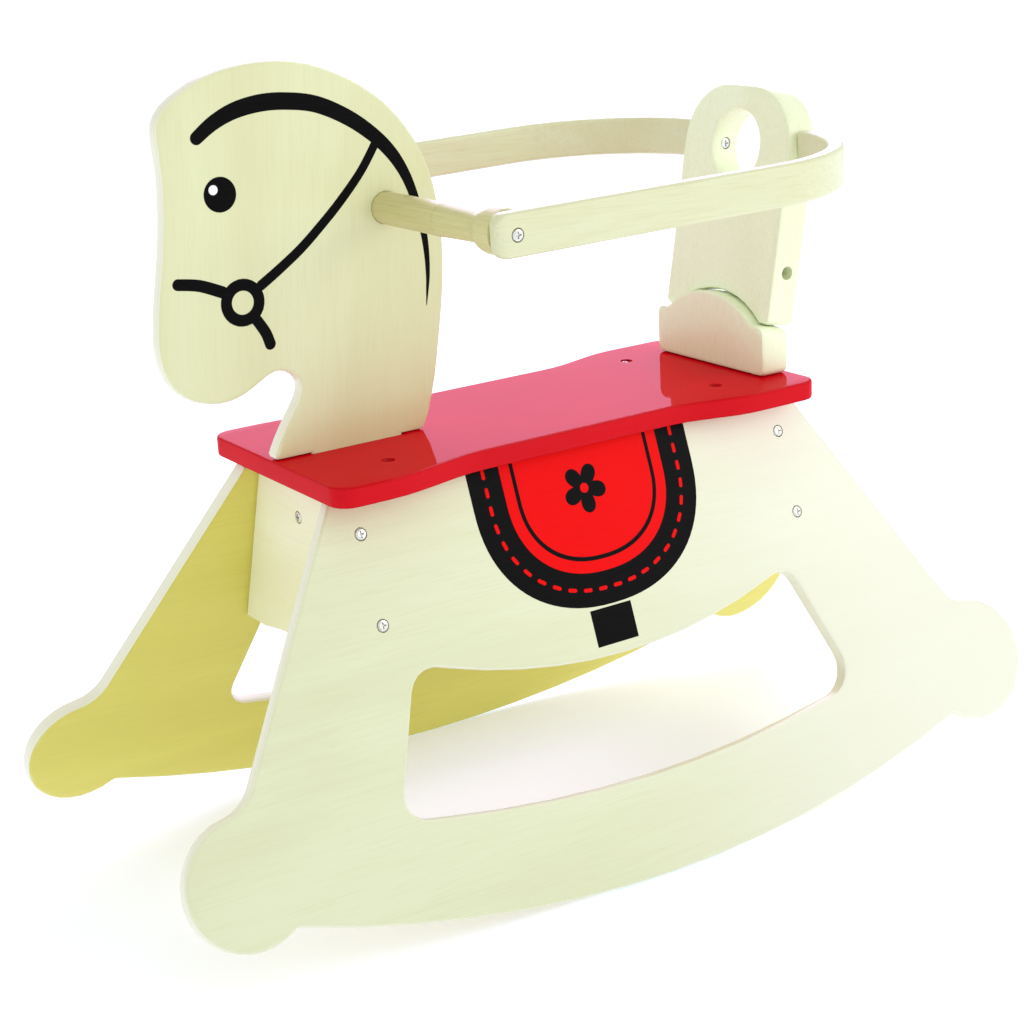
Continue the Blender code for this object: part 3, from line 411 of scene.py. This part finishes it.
MANE = (
    (0.2670, 0.2300, 0.0090), (0.2540, 0.2385, 0.0100), (0.2380, 0.2448, 0.0110), (0.2190, 0.2477, 0.0115),
    (0.2000, 0.2470, 0.0115), (0.1780, 0.2428, 0.0112), (0.1560, 0.2325, 0.0108), (0.1375, 0.2195, 0.0102),
    (0.1228, 0.2050, 0.0094), (0.1122, 0.1885, 0.0080), (0.1052, 0.1700, 0.0068), (0.1005, 0.1500, 0.0056),
    (0.0985, 0.1320, 0.0044), (0.0985, 0.1150, 0.0032), (0.1000, 0.1020, 0.0018), (0.1012, 0.0930, 0.0005),
)
BRIDLE = (
    (0.1335, 0.2120, 0.0064), (0.1470, 0.1935, 0.0064), (0.1650, 0.1750, 0.0066), (0.1820, 0.1600, 0.0067),
    (0.1980, 0.1472, 0.0068), (0.2150, 0.1360, 0.0070), (0.2300, 0.1270, 0.0072),
)
NOSE_STRAP = ((0.2905, 0.1365, 0.0078), (0.2750, 0.1335, 0.0080), (0.2590, 0.1268, 0.0082))
CHEEK_STRAP = ((0.2362, 0.1050, 0.0078), (0.2298, 0.0945, 0.0080), (0.2270, 0.0860, 0.0082))
RING_CENTRE = (0.2447, 0.1174)
RING_RADII = (0.0163, 0.0082)
EYE_CENTRE = (0.2540, 0.1915)
EYE_RADIUS = 0.0118
GLINT_CENTRE = (0.2587, 0.1951)
GLINT_RADIUS = 0.0033


def print_head(inks):
    """The mane, bridle and eye on both faces of the head."""
    black = [
        (stroke(MANE, round_end=False), []),
        (stroke(BRIDLE), []),
        (stroke(NOSE_STRAP), []),
        (stroke(CHEEK_STRAP), []),
        (circle(RING_CENTRE, RING_RADII[0]), [circle(RING_CENTRE, RING_RADII[1])]),
        (circle(EYE_CENTRE, EYE_RADIUS), []),
    ]
    glint = [(circle(GLINT_CENTRE, GLINT_RADIUS), [])]
    for side, hand in ((1, "left"), (-1, "right")):
        printed(f"head_print_black_{hand}", black, on_head(side), 1, inks["black"])
        printed(f"head_print_white_{hand}", glint, on_head(side), 2, inks["white"])


SADDLE_MIDDLE = 0.0197
SADDLE_TOP = 0.0140
SADDLE_TURN = 0.045             # where the straight sides end, down the panel's slope
SADDLE_POWER = 2.25
SADDLE_HALF = 0.097
SADDLE_DEPTH = 0.133
FIELD_HALF = 0.0695
FIELD_DEPTH = 0.1085
LINE_HALF = 0.0607
LINE_DEPTH = 0.0998
LINE_WIDTH = 0.0031
STITCHES = 24
STITCH_SIZE = (0.0074, 0.0028)
FLOWER = (0.0223, -0.0467)
PETALS = 5
PETAL_MIDDLE = 0.62 * 0.0151    # from the flower's centre
PETAL_SIZE = (0.0092, 0.0058)   # half its length and width
PETAL_FLARE = 0.25              # how much wider it is at the tip
FLOWER_TURN = math.radians(122)
FLOWER_EYE = 0.0036
TAB = (0.0058, 0.0420, -0.1345, -0.1615)   # its left, right, top and bottom


def saddle_edge(half, depth, count=44):
    """A U as wide as twice half that reaches down to depth: straight sides and a full, round bottom."""
    drop = depth - SADDLE_TURN
    points = []
    for i in range(count + 1):
        angle = math.pi * i / count
        across = math.copysign(abs(math.cos(angle)) ** (2 / SADDLE_POWER), math.cos(angle))
        down = math.sin(angle) ** (2 / SADDLE_POWER)
        points.append((SADDLE_MIDDLE - half * across, -SADDLE_TURN - drop * down))
    return [(SADDLE_MIDDLE - half, -SADDLE_TOP)] + points + [(SADDLE_MIDDLE + half, -SADDLE_TOP)]


def stitches():
    """Even dashes along the middle of the saddle's black border."""
    middle = saddle_edge((SADDLE_HALF + FIELD_HALF) / 2, (SADDLE_DEPTH + FIELD_DEPTH) / 2)
    path = [Vector(p) for p in middle]
    lengths = [0.0]
    for a, b in zip(path, path[1:]):
        lengths.append(lengths[-1] + (b - a).length)
    dashes = []
    for i in range(STITCHES):
        at = lengths[-1] * (i + 0.5) / STITCHES
        k = max(j for j in range(len(path) - 1) if lengths[j] <= at)
        share = (at - lengths[k]) / (lengths[k + 1] - lengths[k])
        dashes.append((pill(path[k].lerp(path[k + 1], share), path[k + 1] - path[k], *STITCH_SIZE), []))
    return dashes


def petal(turn):
    """One petal: an egg that is widest towards its tip."""
    direction = Vector((math.cos(turn), math.sin(turn)))
    side = Vector((-direction.y, direction.x))
    points = []
    for x, y in circle((0.0, 0.0), 1.0):
        reach = PETAL_MIDDLE + x * PETAL_SIZE[0]
        wide = y * PETAL_SIZE[1] * (1 + PETAL_FLARE * x)
        points.append(tuple(Vector(FLOWER) + direction * reach + side * wide))
    return points


def print_saddle(inks):
    """The printed saddle on the outer face of both side panels."""
    black = [(saddle_edge(SADDLE_HALF, SADDLE_DEPTH), [])]
    left, right, top, bottom = TAB
    black.append(([(left, top), (right, top), (right, bottom), (left, bottom)], []))
    red = [(saddle_edge(FIELD_HALF, FIELD_DEPTH), [])] + stitches()
    outer = saddle_edge(LINE_HALF, LINE_DEPTH)
    inner = saddle_edge(LINE_HALF - LINE_WIDTH, LINE_DEPTH - LINE_WIDTH)
    line = [(outer + inner[::-1], [])]
    turns = [FLOWER_TURN + 2 * math.pi * i / PETALS for i in range(PETALS)]
    flower = [(petal(turn), []) for turn in turns]
    heart = [(circle(FLOWER, FLOWER_EYE), [])]
    for side, hand in ((1, "left"), (-1, "right")):
        place = on_panel(side)
        printed(f"saddle_print_black_{hand}", black, place, 1, inks["black"])
        printed(f"saddle_print_red_{hand}", red, place, 2, inks["red"])
        printed(f"saddle_print_line_{hand}", line, place, 3, inks["black"])
        printed(f"saddle_print_flower_{hand}", flower, place, 3, inks["black"])
        printed(f"saddle_print_heart_{hand}", heart, place, 4, inks["red"])


# ---------------------------------------------------------------- CAD nodes

def round_off(node):
    """Shades a node smoothly across its facets and crisply along its corners."""
    for attribute in ("custom_normal", "sharp_face", "sharp_edge"):
        if attribute in node.data.attributes:
            node.data.attributes.remove(node.data.attributes[attribute])
    node.data.shade_smooth()
    weld = node.modifiers.new("one_skin", "WELD")
    weld.merge_threshold = 0.00001
    split = node.modifiers.new("crisp_corners", "EDGE_SPLIT")
    split.split_angle = math.radians(38)
    flats = node.modifiers.new("flat_faces", "WEIGHTED_NORMAL")
    flats.mode = "FACE_AREA"
    flats.weight = 100


def dress(node, material):
    node.data.materials.clear()
    node.data.materials.append(material)
    round_off(node)


def side_ply(side, hand):
    """The plywood of one side panel, with a painted, yellower shade on its inner face and a painted light to
    its rear.
    """
    out = (0.0, side * math.cos(SPLAY), math.sin(SPLAY))
    return plywood(
        f"ply_side_{hand}", (-side * SPLAY, 0.0, 0.0), 0, 1,
        srgb(226, 231, 196), srgb(219, 223, 182), srgb(200, 198, 146),
        square=out, inward=tuple(-value for value in out),
    )


def dress_all():
    """Gives every CAD node its material: screws by that word in their names, the rest by how they begin."""
    materials = {
        "side_panel_left": side_ply(1, "left"),
        "side_panel_right": side_ply(-1, "right"),
        "head_panel": plywood(
            "ply_head", (0.0, HEAD_GRAIN, 0.0), 0, 1,
            srgb(225, 229, 182), srgb(219, 220, 170), srgb(206, 203, 150), square=(0.0, 1.0, 0.0),
        ),
        "front_apron": plywood(
            "ply_apron", (0.0, 0.0, 0.0), 1, 0,
            srgb(250, 251, 220), srgb(244, 243, 206), srgb(226, 222, 172), square=(1.0, 0.0, 0.0),
        ),
        "seat_board": red_lacquer(),
        "rail": solid_wood(
            "bent_ply", (0.0, RAIL_GRAIN, 0.0), 0,
            srgb(223, 228, 190), srgb(217, 217, 170), srgb(198, 188, 132), 1.1,
        ),
        "handle": solid_wood(
            "turned_beech", (0.0, 0.0, 0.0), 1,
            srgb(216, 212, 156), srgb(202, 194, 128), srgb(170, 152, 88),
        ),
        "backrest": solid_wood(
            "beech", (0.0, -RECLINE, 0.0), 2,
            srgb(244, 254, 220), srgb(238, 245, 206), srgb(214, 214, 164),
        ),
        "bolt": zinc_steel(),
    }
    materials["rear_apron"] = materials["front_apron"]
    materials["block_peg"] = materials["handle"]
    materials["barrel"] = materials["bolt"]
    for name, node in frame["nodes"].items():
        kind = "bolt" if "screw" in name else next(start for start in materials if name.startswith(start))
        dress(node, materials[kind])


# ---------------------------------------------------------------- studio

def camera():
    """A camera with its lens, place, direction and roll set in the horse's own frame."""
    level = math.cos(CAMERA_PITCH)
    look = Vector((math.cos(CAMERA_YAW) * level, math.sin(CAMERA_YAW) * level, math.sin(CAMERA_PITCH)))
    across = Vector((math.sin(CAMERA_YAW), -math.cos(CAMERA_YAW), 0.0))
    above = across.cross(look)
    right = across * math.cos(CAMERA_ROLL) + above * math.sin(CAMERA_ROLL)
    up = above * math.cos(CAMERA_ROLL) - across * math.sin(CAMERA_ROLL)
    place = Matrix((right, up, -look)).transposed().to_4x4()
    place.translation = CAMERA_PLACE
    data = bpy.data.cameras.new("camera")
    data.lens = CAMERA_LENS
    eye = bpy.data.objects.new("camera", data)
    bpy.context.scene.collection.objects.link(eye)
    eye.matrix_world = SEAT @ place
    bpy.context.scene.camera = eye


def floor():
    """A wide, pale, matt floor with a faint glow, which keeps the shadows light."""
    mesh = bpy.data.meshes.new("floor")
    corners = [(x * FLOOR_HALF, y * FLOOR_HALF, 0.0) for x, y in ((-1, -1), (1, -1), (1, 1), (-1, 1))]
    mesh.from_pydata(corners, [], [(0, 1, 2, 3)])
    graph = Graph(
        "floor", Specular_IOR_Level=0.0, Roughness=0.9, Emission_Color=FLOOR_GLOW, Emission_Strength=0.36,
    )
    tone = graph.noise(graph.stretch(graph.place, (1.5, 1.5, 1.5)), 1.0)
    graph.finish(graph.mix(tone, srgb(250, 250, 250), srgb(247, 247, 247)))
    mesh.materials.append(graph.material)
    plane = bpy.data.objects.new("floor", mesh)
    bpy.context.scene.collection.objects.link(plane)


def softbox(name, place, size, power, colour=(1.0, 1.0, 1.0)):
    """A square area light that faces the horse."""
    data = bpy.data.lights.new(name, "AREA")
    data.size = size
    data.energy = power
    data.color = colour
    lamp = bpy.data.objects.new(name, data)
    bpy.context.scene.collection.objects.link(lamp)
    lamp.location = place
    aim = Vector(AIM) - Vector(place)
    lamp.rotation_euler = aim.to_track_quat("-Z", "Y").to_euler()


def lights():
    """An even white sky, a small light in front, and a large tinted one behind that the lacquer mirrors."""
    world = bpy.data.worlds.new("studio")
    world.use_nodes = True
    sky = world.node_tree.nodes["Background"]
    sky.inputs["Color"].default_value = (1.0, 1.0, 1.0, 1.0)
    sky.inputs["Strength"].default_value = 0.86
    bpy.context.scene.world = world
    softbox("key", (-1.3, 1.5, 1.1), 1.2, 9.0)
    softbox("backdrop", (-1.63, -2.51, 1.75), 2.4, 62.0, (0.74, 0.60, 1.0))
    bpy.context.scene.view_settings.view_transform = "Standard"


# ---------------------------------------------------------------- the whole scene

camera()
floor()
lights()
dress_all()
INKS = {
    "black": print_ink("ink_black", srgb(5, 4, 5), srgb(16, 15, 15)),
    "red": print_ink("ink_red", srgb(240, 5, 8), srgb(228, 4, 8)),
    "white": print_ink("ink_white", srgb(245, 245, 240), srgb(235, 235, 228)),
}
print_head(INKS)
print_saddle(INKS)
